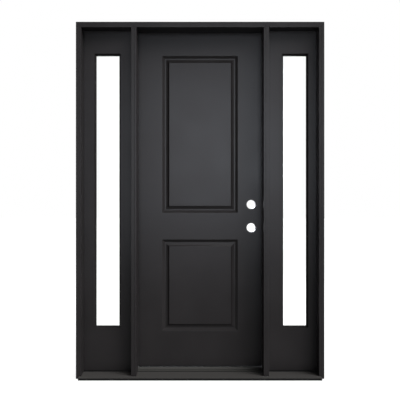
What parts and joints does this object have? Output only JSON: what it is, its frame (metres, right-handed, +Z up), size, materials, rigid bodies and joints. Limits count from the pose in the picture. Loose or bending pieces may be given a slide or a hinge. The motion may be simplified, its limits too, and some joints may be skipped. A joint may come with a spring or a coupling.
{
  "type": "entry door unit with sidelights",
  "caption": "Prehung inswing entry door with moulded panels between fixed narrow-glass sidelights, in a jamb frame with mullions, sloped sill and open lock bores.",
  "frame": {"origin": "bottom of the sill, midway across the unit, in the plane of the frame's outer face", "axes": "+X across the unit from the hinge side to the strike side, +Y from outside to inside, +Z up"},
  "size_m": [1.448, 0.214, 2.08],
  "materials": {
    "frame_paint": "satin black paint",
    "sill_metal": "satin dark anodised",
    "sill_composite": "matte",
    "cap_composite": "satin",
    "seal": "matte",
    "hinge_metal": "satin black",
    "door_paint": "satin black paint",
    "door_edge": "satin black paint",
    "door_foam": "matte",
    "sidelight_paint": "satin black paint",
    "glass": "clear",
    "spacer_metal": "satin"
  },
  "bodies": {
    "frame": {"head_jamb": "frame_paint", "left_jamb": "frame_paint", "right_jamb": "frame_paint", "hinge_mullion": "frame_paint", "strike_mullion": "frame_paint", "door_head_stop": "frame_paint", "door_hinge_stop": "frame_paint", "door_strike_stop": "frame_paint", "left_sidelight_side_stop": "frame_paint", "left_sidelight_head_stop": "frame_paint", "left_sidelight_interior_stops": "frame_paint", "right_sidelight_side_stop": "frame_paint", "right_sidelight_head_stop": "frame_paint", "right_sidelight_interior_stops": "frame_paint", "sill_tread": "sill_metal", "sill_base": "sill_composite", "left_sidelight_sill_block": "sill_composite", "right_sidelight_sill_block": "sill_composite", "threshold_cap": "cap_composite", "door_weatherstrip": "seal", "top_hinge_frame_leaf": "hinge_metal", "top_hinge_pin": "hinge_metal", "middle_hinge_frame_leaf": "hinge_metal", "middle_hinge_pin": "hinge_metal", "bottom_hinge_frame_leaf": "hinge_metal", "bottom_hinge_pin": "hinge_metal", "left_sidelight_panel": "sidelight_paint", "left_sidelight_exterior_bead": "sidelight_paint", "left_sidelight_interior_bead": "sidelight_paint", "right_sidelight_panel": "sidelight_paint", "right_sidelight_exterior_bead": "sidelight_paint", "right_sidelight_interior_bead": "sidelight_paint", "left_sidelight_glass": "glass", "right_sidelight_glass": "glass", "left_sidelight_spacer": "spacer_metal", "right_sidelight_spacer": "spacer_metal"},
    "door": {"door_exterior_skin": "door_paint", "door_interior_skin": "door_paint", "door_hinge_stile": "door_edge", "door_lock_stile": "door_edge", "door_top_rail": "door_edge", "door_bottom_rail": "door_edge", "door_core": "door_foam", "door_sweep": "seal", "top_hinge_door_leaf": "hinge_metal", "middle_hinge_door_leaf": "hinge_metal", "bottom_hinge_door_leaf": "hinge_metal"}
  },
  "joints": [
    {"name": "door_swing", "type": "hinge", "parent": "frame", "child": "door", "pos_m": [-0.3805, 0.1735, 0], "axis": [0, 0, 1], "range_deg": [0, 175]}
  ]
}
